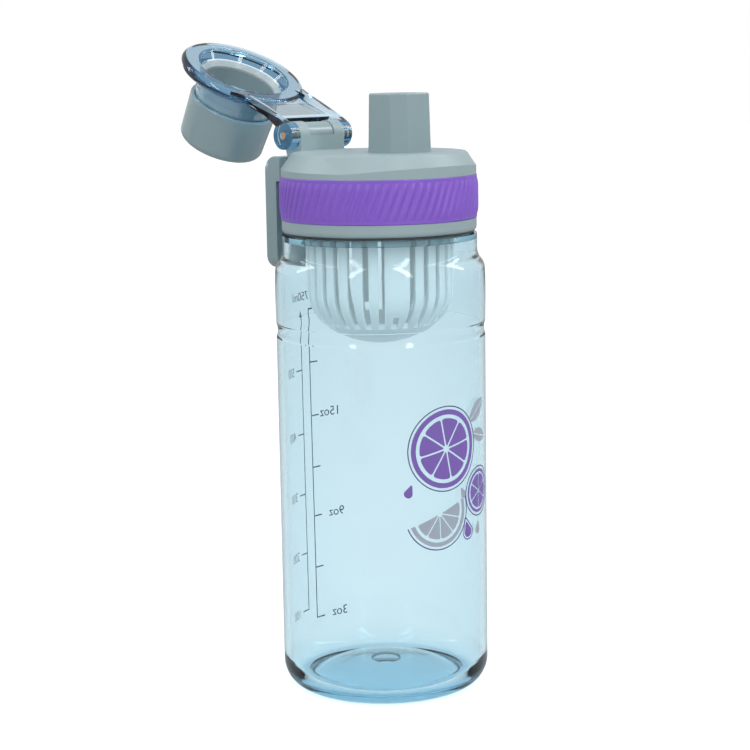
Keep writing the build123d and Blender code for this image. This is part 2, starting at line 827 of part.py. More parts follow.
with BuildPart() as carry_loop:
    with BuildSketch(Plane.XZ.offset(-loop_inner_y)):
        with Locations((0, loop_middle_z)):
            RectangleRounded(2 * loop_half, loop_top_z - loop_bottom_z, loop_round)
    extrude(amount=-loop_thickness)
    # top bar, brought in under the hinge
    with BuildSketch(Plane.YZ.offset(-loop_half)):
        with BuildLine():
            Polyline(
                (loop_neck_y, window_top_z),
                (loop_outer_y - loop_edge_round, window_top_z),
                (loop_outer_y - loop_edge_round, loop_top_z - loop_edge_round),
                (loop_outer_y - loop_round, loop_top_z),
                (loop_neck_y, loop_top_z),
                close=True,
            )
        make_face()
    extrude(amount=2 * loop_half)
    with BuildSketch(Plane.XZ.offset(-loop_neck_y + overrun)):
        with Locations((0, window_middle_z)):
            RectangleRounded(2 * (loop_half - loop_side), window_top_z - window_bottom_z, window_round)
    extrude(amount=-(loop_outer_y - loop_neck_y + 2 * overrun), mode=Mode.SUBTRACT)
    # web and barrel, as wide as the room between the ears
    with BuildSketch(Plane.YZ.offset(-barrel_width / 2)):
        with Locations((hinge_y, hinge_z)):
            Circle(barrel_r)
        with BuildLine():
            Polyline(
                web_low,
                (loop_neck_y, loop_top_z + edge_round),
                (loop_neck_y, loop_top_z - loop_round),
                (loop_outer_y - loop_edge_round, loop_top_z - loop_round),
                (loop_outer_y - loop_round, loop_top_z),
                web_high,
                close=True,
            )
        make_face()
        with Locations((hinge_y, hinge_z)):
            Circle(knuckle_hole_r, mode=Mode.SUBTRACT)
    extrude(amount=barrel_width)
carry_loop.part.label = "carry_loop"
export_step(carry_loop.part, "parts/carry_loop.step")
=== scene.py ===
# %% [markdown]
# # A clear infuser bottle, dressed in Blender
# The solids of the bottle come from CAD, packed as one fixed frame. This lesson gives them their
# plastics, adds the fine pieces that a solid model leaves out, and lights them as a shop photograph.
# Every length here is in metres, in the same frame as the CAD: the origin is the middle of the base.

import math

import bpy
from mathutils import Matrix, Vector
from mathutils.bvhtree import BVHTree


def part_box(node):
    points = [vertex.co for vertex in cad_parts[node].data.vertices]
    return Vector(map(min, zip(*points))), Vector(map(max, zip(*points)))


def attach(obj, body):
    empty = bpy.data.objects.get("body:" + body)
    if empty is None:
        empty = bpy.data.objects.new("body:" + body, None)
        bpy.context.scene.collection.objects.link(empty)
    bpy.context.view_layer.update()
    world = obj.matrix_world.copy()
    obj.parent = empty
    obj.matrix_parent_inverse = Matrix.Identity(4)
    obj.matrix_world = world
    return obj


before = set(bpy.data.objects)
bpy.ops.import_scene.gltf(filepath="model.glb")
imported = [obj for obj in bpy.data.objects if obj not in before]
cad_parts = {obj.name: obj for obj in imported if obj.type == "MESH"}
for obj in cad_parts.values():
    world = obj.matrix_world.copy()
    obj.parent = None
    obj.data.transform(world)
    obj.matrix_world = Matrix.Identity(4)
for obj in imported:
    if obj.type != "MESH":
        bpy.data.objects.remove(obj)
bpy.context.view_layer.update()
MM = 0.001
Z_AXIS = Vector((0, 0, 1))
print("nodes:", sorted(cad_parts))

# %% [markdown]
# ## The camera
# The photograph was taken with a long lens from a little above the cap, turned 45 degrees from the
# hinge. A camera could be placed by eye, but then few lines of the model would meet their lines in the
# picture. Here its place, tilt and lens are fitted to the bottle's outline. The long lens keeps the
# bottle's sides almost parallel. The whole picture is turned by about one degree, so the camera rolls.

# %% Place the camera
EYE_DISTANCE = 713.71 * MM
EYE_HEIGHT = 234.15 * MM
AZIMUTH = math.radians(-45.0)
PITCH, ROLL, YAW = 0.1621, 0.0164, 0.0035
LENS_LENGTH, SENSOR_WIDTH = 92.407, 36.0
NEAREST, FARTHEST = 0.01, 50.0

right_dir = Vector((math.cos(AZIMUTH), math.sin(AZIMUTH), 0))
away_dir = Vector((-math.sin(AZIMUTH), math.cos(AZIMUTH), 0))
level_right = math.cos(YAW) * right_dir + math.sin(YAW) * away_dir
level_ahead = -math.sin(YAW) * right_dir + math.cos(YAW) * away_dir
ahead = math.cos(PITCH) * level_ahead - math.sin(PITCH) * Z_AXIS
upward = math.sin(PITCH) * level_ahead + math.cos(PITCH) * Z_AXIS
picture_right = math.cos(ROLL) * level_right - math.sin(ROLL) * upward
picture_up = math.sin(ROLL) * level_right + math.cos(ROLL) * upward

eye = -EYE_DISTANCE * away_dir + EYE_HEIGHT * Z_AXIS
turn = Matrix((picture_right, picture_up, -ahead)).transposed()
camera_data = bpy.data.cameras.new("photo_camera")
camera_data.sensor_width = SENSOR_WIDTH
camera_data.lens = LENS_LENGTH
camera_data.clip_start = NEAREST
camera_data.clip_end = FARTHEST
camera = bpy.data.objects.new("photo_camera", camera_data)
camera.matrix_world = Matrix.Translation(eye) @ turn.to_4x4()
bpy.context.scene.collection.objects.link(camera)
bpy.context.scene.camera = camera
bpy.context.scene.view_settings.view_transform = "Standard"
print("camera at", [round(v, 4) for v in eye])

# %% [markdown]
# ## Wiring by function
# Two bits of wiring come back in the tent, the floor and the plastics: a sum on values, and a choice
# by kind of ray. They could be placed and linked anew each time. As functions, they leave the idea of
# each material in plain sight.

# %% Sums, and a mask for kinds of ray
def calc(tree, operation, *values):
    """A Math node's result. Each value is a number to set or a socket to link."""
    node = tree.nodes.new("ShaderNodeMath")
    node.operation = operation
    for socket, value in zip(node.inputs, values):
        if isinstance(value, float):
            socket.default_value = value
        else:
            tree.links.new(value, socket)
    return node.outputs[0]


def ray_mask(tree, *kinds):
    """A value that is 1 for the kinds of ray named, and 0 for all others."""
    path = tree.nodes.new("ShaderNodeLightPath")
    mask = path.outputs[kinds[0]]
    for kind in kinds[1:]:
        mask = calc(tree, "MAXIMUM", mask, path.outputs[kind])
    return mask


SEEN_RAYS = ("Is Camera Ray", "Is Transmission Ray")
print("rays that see the surroundings directly:", SEEN_RAYS)

# %% [markdown]
# ## The light tent
# Clear plastic shows little of its own: what one sees is what it bends and mirrors. The backdrop is
# plain white, but the light that falls on the object is softer near the ground than from above, as in
# a light tent. One white world for everything would wash the plastic out. A world shader can keep the
# two apart: rays straight from the camera, or through clear plastic, see white, mirrored rays see an
# even tent, and all others see a tent that gets darker downwards.

# %% Build the light tent
TENT_LOW = 0.22
TENT_RISE = 0.42
MIRRORED_TENT = 0.7
BACKDROP = 1.0

room = bpy.data.worlds.new("light_tent")
room.use_nodes = True
tree = room.node_tree
background = tree.nodes["Background"]
background.inputs["Color"].default_value = (1.0, 1.0, 1.0, 1)
where = tree.nodes.new("ShaderNodeTexCoord")
split = tree.nodes.new("ShaderNodeSeparateXYZ")
tree.links.new(where.outputs["Generated"], split.inputs[0])
sloping = calc(tree, "MULTIPLY_ADD", split.outputs["Z"], TENT_RISE, TENT_LOW)
strength = calc(tree, "MAXIMUM", sloping, TENT_LOW)
for mask, level in (
    (ray_mask(tree, "Is Glossy Ray"), MIRRORED_TENT),
    (ray_mask(tree, *SEEN_RAYS), BACKDROP),
):
    choice = tree.nodes.new("ShaderNodeMix")
    choice.inputs["B"].default_value = level
    tree.links.new(mask, choice.inputs["Factor"])
    tree.links.new(strength, choice.inputs["A"])
    strength = choice.outputs["Result"]
tree.links.new(strength, background.inputs["Strength"])
bpy.context.scene.world = room
print("tent from", TENT_LOW, "to", TENT_LOW + TENT_RISE)

# %% [markdown]
# ## The floor
# The floor is a white disc, so wide that its edge is out of sight. Plain white paint would look grey in
# so soft a tent, and would throw too much light up under the cap. So the camera, and rays through clear
# plastic, see a floor that glows, while all other rays meet a duller one. Under the base a painted
# shadow turns the glow a darker blue, standing in for the shade cast by light that crosses the plastic.

# %% Mix the floor's white
FLOOR_GREY = (0.34, 0.345, 0.35, 1)
FLOOR_ROUGHNESS = 0.6
FLOOR_GLOSS = 0.1
FLOOR_GLOW = 0.85
DULL_GREY = (0.5, 0.5, 0.5, 1)
# Painted shadow: the glow turns this darker blue in a disc under the base, fading out between two radii.
PAINTED_SHADOW_BLUE = (0.28, 0.48, 0.62, 1)
UNSHADOWED_GLOW = (1, 1, 1, 1)
PAINTED_SHADOW_INNER, PAINTED_SHADOW_OUTER = 28 * MM, 40 * MM


def shader_of(material):
    """The material's own Principled shader."""
    return material.node_tree.nodes["Principled BSDF"]


def choose_shader(material, mask, usual, chosen):
    """Give a material one shader where the mask is 0 and another where it is 1."""
    tree = material.node_tree
    chooser = tree.nodes.new("ShaderNodeMixShader")
    tree.links.new(mask, chooser.inputs[0])
    tree.links.new(usual.outputs["BSDF"], chooser.inputs[1])
    tree.links.new(chosen.outputs["BSDF"], chooser.inputs[2])
    tree.links.new(chooser.outputs["Shader"], tree.nodes["Material Output"].inputs["Surface"])


def white_floor():
    """Floor that glows for the camera, with a painted blue shadow under the base, and is dull for other
    rays.
    """
    material = bpy.data.materials.new("white_floor")
    material.use_nodes = True
    tree = material.node_tree
    bright = shader_of(material)
    bright.inputs["Base Color"].default_value = FLOOR_GREY
    bright.inputs["Roughness"].default_value = FLOOR_ROUGHNESS
    bright.inputs["Specular IOR Level"].default_value = FLOOR_GLOSS
    bright.inputs["Emission Strength"].default_value = FLOOR_GLOW
    place = tree.nodes.new("ShaderNodeTexCoord")
    reach = tree.nodes.new("ShaderNodeVectorMath")
    reach.operation = "LENGTH"
    # Mask of the painted shadow: 0 inside the inner radius, 1 beyond the outer.
    painted_shadow = tree.nodes.new("ShaderNodeMapRange")
    painted_shadow.interpolation_type = "SMOOTHSTEP"
    painted_shadow.inputs["From Min"].default_value = PAINTED_SHADOW_INNER
    painted_shadow.inputs["From Max"].default_value = PAINTED_SHADOW_OUTER
    tint = tree.nodes.new("ShaderNodeMix")
    tint.data_type = "RGBA"
    tint.inputs["A"].default_value = PAINTED_SHADOW_BLUE
    tint.inputs["B"].default_value = UNSHADOWED_GLOW
    tree.links.new(place.outputs["Object"], reach.inputs[0])
    tree.links.new(reach.outputs["Value"], painted_shadow.inputs["Value"])
    tree.links.new(painted_shadow.outputs["Result"], tint.inputs["Factor"])
    tree.links.new(tint.outputs["Result"], bright.inputs["Emission Color"])
    dull = tree.nodes.new("ShaderNodeBsdfDiffuse")
    dull.inputs["Color"].default_value = DULL_GREY
    choose_shader(material, ray_mask(tree, *SEEN_RAYS), dull, bright)
    return material


floor_paint = white_floor()
print("floor material:", floor_paint.name)

# %% Lay the floor
FLOOR_RADIUS = 6.0
FLOOR_SIDES = 96


def start_clean():
    """Object mode with nothing selected."""
    if bpy.context.object and bpy.context.object.mode != "OBJECT":
        bpy.ops.object.mode_set(mode="OBJECT")
    bpy.ops.object.select_all(action="DESELECT")


start_clean()
bpy.ops.mesh.primitive_circle_add(
    vertices=FLOOR_SIDES, radius=FLOOR_RADIUS, fill_type="NGON", location=(0, 0, 0)
)
floor = bpy.context.active_object
floor.name = "floor"
floor.data.materials.append(floor_paint)
print("floor radius", floor.dimensions.x / 2)


# %% [markdown]
# ## Soft boxes
# The bright marks on the shoulder and foot come in pairs, left and right of the middle. A mark shows
# where the wall faces halfway between the camera and the lamp, so marks 16 and 52 degrees round the
# wall mean lamps 32 and 104 degrees round from the camera. Round lamps would leave round spots. These
# are tall and narrow, as studio strip lights are, so that they leave thin upright marks on the clear
# wall and still give the grey and purple plastics much of their light.

# %% Hang the soft boxes
LAMP_AIM = Vector((0, 0, 0.15))
LAMP_DISTANCE = 1.1


def soft_box(name, bearing, lift, size, power):
    """A rectangular lamp at a bearing from the camera's side, aimed at the upper half of the bottle."""
    angle, rise = math.radians(bearing), math.radians(lift)
    level = -away_dir * math.cos(angle) + right_dir * math.sin(angle)
    place = LAMP_AIM + level * LAMP_DISTANCE * math.cos(rise)
    place.z += LAMP_DISTANCE * math.sin(rise)
    lamp_data = bpy.data.lights.new(name, "AREA")
    lamp_data.shape = "RECTANGLE"
    lamp_data.size, lamp_data.size_y = size
    lamp_data.energy = power
    lamp = bpy.data.objects.new(name, lamp_data)
    aim = (LAMP_AIM - place).to_track_quat("-Z", "Y")
    lamp.matrix_world = Matrix.Translation(place) @ aim.to_matrix().to_4x4()
    bpy.context.scene.collection.objects.link(lamp)


soft_box("front_left", bearing=-32, lift=38, size=(0.14, 1.3), power=3.8)
soft_box("front_right", bearing=32, lift=38, size=(0.14, 1.3), power=5.6)
soft_box("side_left", bearing=-104, lift=40, size=(0.16, 1.0), power=3.0)
soft_box("side_right", bearing=104, lift=40, size=(0.16, 1.0), power=4.0)


# %% [markdown]
# ## Plastics
# Moulded plastic is never one flat colour: a fine grain from the mould breaks up its gloss, and its
# colour drifts a little. Each material could have noise of its own. One node group that all of them
# share is easier to keep: each plastic sets its own values, and a better grain reaches them all.

# %% The shared grain
DRIFT_SCALE, DRIFT_DETAIL = 60.0, 3.0
GRAIN_DETAIL = 2.0
GRAIN_INPUTS = (
    ("Color", "NodeSocketColor", (0.5, 0.5, 0.5, 1)),
    ("Drift", "NodeSocketFloat", 0.05),
    ("Roughness", "NodeSocketFloat", 0.4),
    ("Patchiness", "NodeSocketFloat", 0.05),
    ("Grain Scale", "NodeSocketFloat", 2500.0),
)
GRAIN_OUTPUTS = (
    ("Color", "NodeSocketColor"),
    ("Roughness", "NodeSocketFloat"),
    ("Height", "NodeSocketFloat"),
)


def moulded_grain():
    """Node group: a slow drift of colour, a patchy gloss and a fine grain for bump."""
    group = bpy.data.node_groups.new("moulded_grain", "ShaderNodeTree")
    for name, kind, value in GRAIN_INPUTS:
        group.interface.new_socket(name=name, in_out="INPUT", socket_type=kind).default_value = value
    for name, kind in GRAIN_OUTPUTS:
        group.interface.new_socket(name=name, in_out="OUTPUT", socket_type=kind)
    nodes, links = group.nodes, group.links
    given = nodes.new("NodeGroupInput")
    result = nodes.new("NodeGroupOutput")
    place = nodes.new("ShaderNodeTexCoord")
    slow = nodes.new("ShaderNodeTexNoise")
    slow.inputs["Scale"].default_value = DRIFT_SCALE
    slow.inputs["Detail"].default_value = DRIFT_DETAIL
    fine = nodes.new("ShaderNodeTexNoise")
    fine.inputs["Detail"].default_value = GRAIN_DETAIL
    links.new(place.outputs["Object"], slow.inputs["Vector"])
    links.new(place.outputs["Object"], fine.inputs["Vector"])
    links.new(given.outputs["Grain Scale"], fine.inputs["Scale"])
    swing = calc(group, "SUBTRACT", slow.outputs["Fac"], 0.5)
    drift = calc(group, "MULTIPLY_ADD", swing, given.outputs["Drift"], 1.0)
    gloss = calc(group, "MULTIPLY_ADD", swing, given.outputs["Patchiness"], given.outputs["Roughness"])
    tint = nodes.new("ShaderNodeVectorMath")
    tint.operation = "SCALE"
    links.new(given.outputs["Color"], tint.inputs[0])
    links.new(drift, tint.inputs["Scale"])
    links.new(tint.outputs[0], result.inputs["Color"])
    links.new(gloss, result.inputs["Roughness"])
    links.new(fine.outputs["Fac"], result.inputs["Height"])
    return group


GRAIN = moulded_grain()
print("node group:", GRAIN.name)

# %% [markdown]
# ## Opaque plastics, inks and the pin
# The cap is a grey plastic with a satin mould, its spout and the loop are polished, the grip band is a
# soft rubber, and the two prints are inks. They differ only in colour, gloss and coarseness of grain,
# so one function makes them all and each line below is one finish. The hinge pin is brass, which is
# the same recipe with a metal's mirror.

# %% Opaque plastics
BUMP_DEPTH = 0.2 * MM


def plastic(name, color, roughness, drift=0.06, patchiness=0.1, grain=2500.0, bump=0.02):
    """A moulded plastic: the grain group feeds colour, roughness and a shallow bump."""
    material = bpy.data.materials.new(name)
    material.use_nodes = True
    nodes, links = material.node_tree.nodes, material.node_tree.links
    shader = shader_of(material)
    group = nodes.new("ShaderNodeGroup")
    group.node_tree = GRAIN
    group.inputs["Color"].default_value = (*color, 1)
    group.inputs["Drift"].default_value = drift
    group.inputs["Roughness"].default_value = roughness
    group.inputs["Patchiness"].default_value = patchiness
    group.inputs["Grain Scale"].default_value = grain
    relief = nodes.new("ShaderNodeBump")
    relief.inputs["Strength"].default_value = bump
    relief.inputs["Distance"].default_value = BUMP_DEPTH
    links.new(group.outputs["Color"], shader.inputs["Base Color"])
    links.new(group.outputs["Roughness"], shader.inputs["Roughness"])
    links.new(group.outputs["Height"], relief.inputs["Height"])
    links.new(relief.outputs["Normal"], shader.inputs["Normal"])
    return material


grey_plastic = plastic("grey_plastic", color=(0.30, 0.40, 0.425), roughness=0.42)
glossy_grey = plastic(
    "glossy_grey", color=(0.262, 0.36, 0.385), roughness=0.2, patchiness=0.06, bump=0.01
)
# Painted shade: a near-black grey for the ring in the gap under the cap's lip, not the cap's own grey.
painted_shade_grey = plastic("painted_shade_grey", color=(0.03, 0.04, 0.045), roughness=0.5)
purple_rubber = plastic(
    "purple_rubber", color=(0.22, 0.10, 0.57), roughness=0.42, grain=1800.0, bump=0.05
)
frosted_plastic = plastic("frosted_plastic", color=(0.73, 0.75, 0.75), roughness=0.3)
white_silicone = plastic("white_silicone", color=(0.42, 0.50, 0.52), roughness=0.35)
brass = plastic("brass", color=(0.75, 0.47, 0.30), roughness=0.3)
shader_of(brass).inputs["Metallic"].default_value = 1.0
purple_ink = plastic("purple_ink", color=(0.20, 0.115, 0.45), roughness=0.45, drift=0.1)
grey_ink = plastic("grey_ink", color=(0.36, 0.42, 0.50), roughness=0.45, drift=0.1)
line_ink = plastic("line_ink", color=(0.085, 0.06, 0.24), roughness=0.45, drift=0.1)
scale_ink = plastic("scale_ink", color=(0.02, 0.03, 0.04), roughness=0.5, drift=0.2)
print("materials:", sorted(material.name for material in bpy.data.materials))

# %% [markdown]
# The basket and the silicone are pale and thin, and light that enters them comes out again nearby. A
# lighter colour alone would leave them flat. Subsurface scattering softens their shadows instead. Its
# usual settings are made for skin and would tint them, so here all three colours go equally deep.

# %% Let light wander in pale plastic
def scatter(material, weight, depth):
    """Light enters the material and comes out again nearby, alike in all colours."""
    shader = shader_of(material)
    shader.inputs["Subsurface Weight"].default_value = weight
    shader.inputs["Subsurface Scale"].default_value = depth
    shader.inputs["Subsurface Radius"].default_value = (1, 1, 1)


scatter(frosted_plastic, weight=0.8, depth=4 * MM)
scatter(white_silicone, weight=0.3, depth=2 * MM)
print("basket scatters over", shader_of(frosted_plastic).inputs["Subsurface Scale"].default_value)

# %% [markdown]
# ## Clear plastics
# The body and the flip lid are clear. Clear plastic bends light, and part of its tint comes from the
# depth of plastic that the light crosses, so edges and the thick base come out bluer than the walls.
# A tint on the surface alone would miss that, and depth alone would leave the body's thin walls
# colourless, so the body has both. Lamplight would reach what is inside only by slow, noisy
# caustics, so shadow rays pass straight through, a little tinted. The basket passes most of its
# shadow rays too: in the real one, light from all sides fills the gaps between its bars. The body
# bends light a little less than the lid, which keeps the edges of its wall light.

# %% Clear plastics
def pass_shadow_rays(material, color):
    """For shadow rays only, a material is a see-through film of this colour."""
    film = material.node_tree.nodes.new("ShaderNodeBsdfTransparent")
    film.inputs["Color"].default_value = (*color, 1)
    mask = ray_mask(material.node_tree, "Is Shadow Ray")
    choose_shader(material, mask, shader_of(material), film)


def clear_plastic(name, surface, bending, depth_tint, density, passed):
    """Clear plastic, tinted by its surface and its depth, that lets lamplight pass."""
    material = bpy.data.materials.new(name)
    material.use_nodes = True
    nodes, links = material.node_tree.nodes, material.node_tree.links
    shader = shader_of(material)
    shader.inputs["Base Color"].default_value = (*surface, 1)
    shader.inputs["Transmission Weight"].default_value = 1.0
    shader.inputs["Roughness"].default_value = 0.0
    shader.inputs["IOR"].default_value = bending
    pass_shadow_rays(material, passed)
    volume = nodes.new("ShaderNodeVolumeAbsorption")
    volume.inputs["Color"].default_value = (*depth_tint, 1)
    volume.inputs["Density"].default_value = density
    links.new(volume.outputs["Volume"], nodes["Material Output"].inputs["Volume"])
    return material


pale_clear = clear_plastic(
    "pale_clear",
    surface=(0.815, 0.888, 0.91),
    bending=1.37,
    depth_tint=(0.02, 0.45, 0.60),
    density=65.0,
    passed=(0.93, 0.965, 0.98),
)
blue_clear = clear_plastic(
    "blue_clear",
    surface=(1, 1, 1),
    bending=1.5,
    depth_tint=(0.02, 0.40, 0.60),
    density=215.0,
    passed=(0.82, 0.88, 0.94),
)
pass_shadow_rays(frosted_plastic, (0.95, 0.95, 0.95))
print("clear:", pale_clear.name, blue_clear.name)

# %% [markdown]
# ## Dressing the solids
# Each solid from CAD carries the name of its plastic on its material slots. One could dress them node
# by node, but a table from those names to the finishes above is shorter and misses none. Three grey
# mouldings are polished on the real bottle, and get the glossier grey afterwards: the inner cap with
# the spout, the seal cup and the carry loop.

# %% Dress the CAD nodes
FINISHES = {
    "clear_body": pale_clear,
    "clear_blue": blue_clear,
    "frosted_basket": frosted_plastic,
    "grey_plastic": grey_plastic,
    "purple_grip": purple_rubber,
    "silicone": white_silicone,
    "pin_brass": brass,
}
POLISHED = ("inner_cap", "seal_cup", "carry_loop")

for name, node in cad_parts.items():
    for slot in node.material_slots:
        base = slot.material.name.split(".")[0]
        slot.material = FINISHES[base]
for name in POLISHED:
    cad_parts[name].material_slots[0].material = glossy_grey
for name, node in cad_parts.items():
    print(name, "->", [slot.material.name for slot in node.material_slots])


# %% [markdown]
# ## Working by hand, in code
# Every new piece starts as a primitive, is shaped in edit mode, and ends with its place in its mesh.
# A modeller picks faces with the mouse. Code has no mouse, so it picks them by where they are. These
# helpers do what the modeller's hands do: take up one piece, pick, cut, copy and join.

# %% Take up one piece and pick on it
def work_on(piece):
    """Make one piece the only one selected, and active."""
    start_clean()
    piece.select_set(True)
    bpy.context.view_layer.objects.active = piece


def settle(piece):
    """Put a piece's place, turn and scale into its mesh."""
    work_on(piece)
    bpy.ops.object.transform_apply(location=True, rotation=True, scale=True)
    return piece


def pick(piece, what, test=lambda part: True):
    """Enter edit mode with only the vertices, edges or faces that pass the test selected."""
    work_on(piece)
    bpy.ops.object.mode_set(mode="EDIT")
    bpy.ops.mesh.select_mode(type=what)
    bpy.ops.mesh.select_all(action="DESELECT")
    bpy.ops.object.mode_set(mode="OBJECT")
    mesh = piece.data
    parts = {"VERT": mesh.vertices, "EDGE": mesh.edges, "FACE": mesh.polygons}[what]
    for part in parts:
        part.select = bool(test(part))
    bpy.ops.object.mode_set(mode="EDIT")


start_clean()
print("objects still selected:", len(bpy.context.selected_objects))


# %% [markdown]
# A finished piece also has to say what it belongs to: the body of the mechanism that it rides on, so
# that it moves with it. That comes last, once the piece is whole.

# %% Cut, copy, join and finish
def slice_up(piece, axis, step):
    """Cut a mesh across an axis every so often, so that it can bend."""
    normal = Vector((axis == 0, axis == 1, axis == 2))
    places = [vertex.co[axis] for vertex in piece.data.vertices]
    low, high = min(places), max(places)
    work_on(piece)
    bpy.ops.object.mode_set(mode="EDIT")
    for index in range(1, math.ceil((high - low) / step)):
        bpy.ops.mesh.select_all(action="SELECT")
        bpy.ops.mesh.bisect(plane_co=normal * (low + index * step), plane_no=normal)
    bpy.ops.object.mode_set(mode="OBJECT")


def copy_of(piece):
    """A copy with its own mesh."""
    twin = piece.copy()
    twin.data = piece.data.copy()
    bpy.context.scene.collection.objects.link(twin)
    return twin


def join(pieces, name):
    """One piece out of several."""
    start_clean()
    for piece in pieces:
        piece.select_set(True)
    bpy.context.view_layer.objects.active = pieces[0]
    bpy.ops.object.join()
    pieces[0].name = name
    pieces[0].data.name = name
    return pieces[0]


def smooth(piece, degrees):
    """Shade smoothly across every edge that bends by less than an angle."""
    work_on(piece)
    bpy.ops.object.shade_smooth_by_angle(angle=math.radians(degrees))


def finish_piece(piece, material, body):
    """Material and body of a finished piece."""
    piece.data.materials.clear()
    piece.data.materials.append(material)
    for face in piece.data.polygons:
        face.material_index = 0
    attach(piece, body)
    print(piece.name, "rides", body, len(piece.data.polygons), "faces")


# %% [markdown]
# ## Wrapping round a wall
# Prints, ribs and lugs all sit on round walls. A bend modifier could roll them up, but only to a
# plain cylinder, which would leave a drawing in the air over the shallow groove. So they are drawn
# flat, with x along the wall, y up and z off the wall, and each point is then shot at the CAD wall and
# stops where it hits.

# %% Wrap a flat drawing round a wall
BODY_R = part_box("bottle_body")[1][0]
OUTSIDE = 100 * MM


def skin_of(node):
    """The surface of a CAD node, ready to be hit by rays."""
    return BVHTree.FromObject(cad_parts[node], bpy.context.evaluated_depsgraph_get())


def wrap(piece, skin, bearing, radius, lean=0.0, from_inside=False):
    """Bend a flat drawing round an upright wall, starting at a bearing in degrees."""
    for vertex in piece.data.vertices:
        along, height, off = vertex.co
        angle = math.radians(bearing) + (along + lean * height) / radius
        outward = Vector((math.cos(angle), math.sin(angle), 0))
        start = height * Z_AXIS + (0 if from_inside else OUTSIDE) * outward
        hit = skin.ray_cast(start, outward if from_inside else -outward)[0]
        vertex.co = hit + off * outward
    piece.data.update()


bottle_skin = skin_of("bottle_body")
print("wall radius", round(BODY_R, 5))

# %% [markdown]
# ## The volume scale
# The scale is screen printed on the back of the bottle, so that the camera reads it in mirror writing
# through both walls. Marks for ounces run down one line and marks for millilitres down the other. The
# lines lean a little, as prints on round bottles often do. It could be a picture on the wall, which
# would blur from close by. Built as a thin solid skin of ink, a few hundredths of a millimetre off the
# wall, it stays sharp from any distance.

# %% Draw the lines and their marks
LINE = 0.5 * MM
OUNCE_LINE = 1.85 * MM
MILLI_LINE = 7.2 * MM
MARK = 4.4 * MM
OUNCE_MARKS = [z * MM for z in (16.1, 36.6, 57.4, 77.0, 97.6, 118.8, 140.0)]
MILLI_MARKS = [z * MM for z in (20.6, 43.6, 67.35, 91.3, 116.4)]
ARROW_TIP = 140.2 * MM
ARROW_REACH, ARROW_HALF_WIDTH = 2.0 * MM, 1.05 * MM
MILLI_LINE_TOP = ARROW_TIP - 2.4 * MM


def bar(left, right, low, high):
    """A flat rectangle from a plane."""
    start_clean()
    bpy.ops.mesh.primitive_plane_add(size=1, location=((left + right) / 2, (low + high) / 2, 0))
    piece = bpy.context.active_object
    piece.scale = (right - left, high - low, 1)
    return settle(piece)


def arrow_head(x, y):
    """A triangle that points up, from a circle of three corners."""
    start_clean()
    bpy.ops.mesh.primitive_circle_add(vertices=3, radius=1, fill_type="NGON", location=(x, y, 0))
    piece = bpy.context.active_object
    piece.scale = (ARROW_HALF_WIDTH, ARROW_REACH, 1)
    return settle(piece)


half = LINE / 2
marks = [
    bar(OUNCE_LINE - half, OUNCE_LINE + half, OUNCE_MARKS[0] - half, OUNCE_MARKS[-1] + half),
    bar(MILLI_LINE - half, MILLI_LINE + half, MILLI_MARKS[0] - half, MILLI_LINE_TOP),
]
for height in OUNCE_MARKS:
    marks.append(bar(OUNCE_LINE - MARK, OUNCE_LINE - half, height - half, height + half))
for height in MILLI_MARKS:
    marks.append(bar(MILLI_LINE + half, MILLI_LINE + MARK, height - half, height + half))
marks.append(arrow_head(MILLI_LINE, ARROW_TIP - ARROW_REACH))
print("marks:", len(marks))

# %% [markdown]
# The numbers are text in Blender's own font, turned into a mesh and then scaled to the height that is
# wanted. Drawing each digit by hand would give much the same and take far longer. Those for ounces
# stand beyond the left ends of their marks, and a little above them.

# %% Set the numbers
DIGITS = 3.6 * MM
DIGIT_WIDTH_SHARE = 0.98
CURVE_STEPS = 4
OUNCE_NUMBERS = (
    ("15oz", -13.2 * MM, OUNCE_MARKS[4] + 0.8 * MM),
    ("9oz", -13.7 * MM, OUNCE_MARKS[2] + 0.5 * MM),
    ("3oz", -13.9 * MM, OUNCE_MARKS[0] + 0.9 * MM),
)
TOP_START, TOP_RISE = 1.5 * MM, 4.6 * MM
TOP_HEIGHT_SHARE, TOP_WIDTH_SHARE = 0.85, 1.12
MILLI_NUMBERS = ("100", "200", "300", "400", "500")
MILLI_GAP = 2.0 * MM


def number(text, start, middle, digit_height=DIGITS, width_share=DIGIT_WIDTH_SHARE):
    """A number as a flat mesh, from its left end, centred on a height."""
    start_clean()
    bpy.ops.object.text_add(location=(0, 0, 0))
    words = bpy.context.active_object
    words.data.body = text
    words.data.resolution_u = CURVE_STEPS
    bpy.ops.object.convert(target="MESH")
    words = bpy.context.active_object
    tall = [v.co.y for v in words.data.vertices]
    scale = digit_height / (max(tall) - min(tall))
    words.scale = (scale * width_share, scale, 1)
    words.location = (start, middle - digit_height / 2 - min(tall) * scale, 0)
    return settle(words)


numbers = [number(*row) for row in OUNCE_NUMBERS]
numbers.append(
    number("750ml", TOP_START, ARROW_TIP + TOP_RISE, TOP_HEIGHT_SHARE * DIGITS, TOP_WIDTH_SHARE)
)
for text, height in zip(MILLI_NUMBERS, MILLI_MARKS):
    numbers.append(number(text, MILLI_LINE + MARK + MILLI_GAP, height))
print("numbers:", len(numbers))

# %% [markdown]
# A flat face can't follow a round wall, so the drawing is cut every millimetre, both ways, before it
# gets its thickness and is wrapped. The lean is taken from the drawing's middle height, so that the
# drawing as a whole stays at the back.

# %% Print the scale on the bottle
INK_DEPTH = 0.03 * MM
SCALE_SLICE = 1.0 * MM
SCALE_BEARING = 90
SCALE_LEAN = 0.0124
SCALE_MIDDLE = 78 * MM


def ink_skin(piece):
    """Give a flat drawing the thickness of ink, a little off the wall that it will go on."""
    work_on(piece)
    depth = piece.modifiers.new("ink_depth", "SOLIDIFY")
    depth.thickness = INK_DEPTH
    depth.offset = 1
    bpy.ops.object.modifier_apply(modifier=depth.name)
    for vertex in piece.data.vertices:
        vertex.co.z += INK_DEPTH


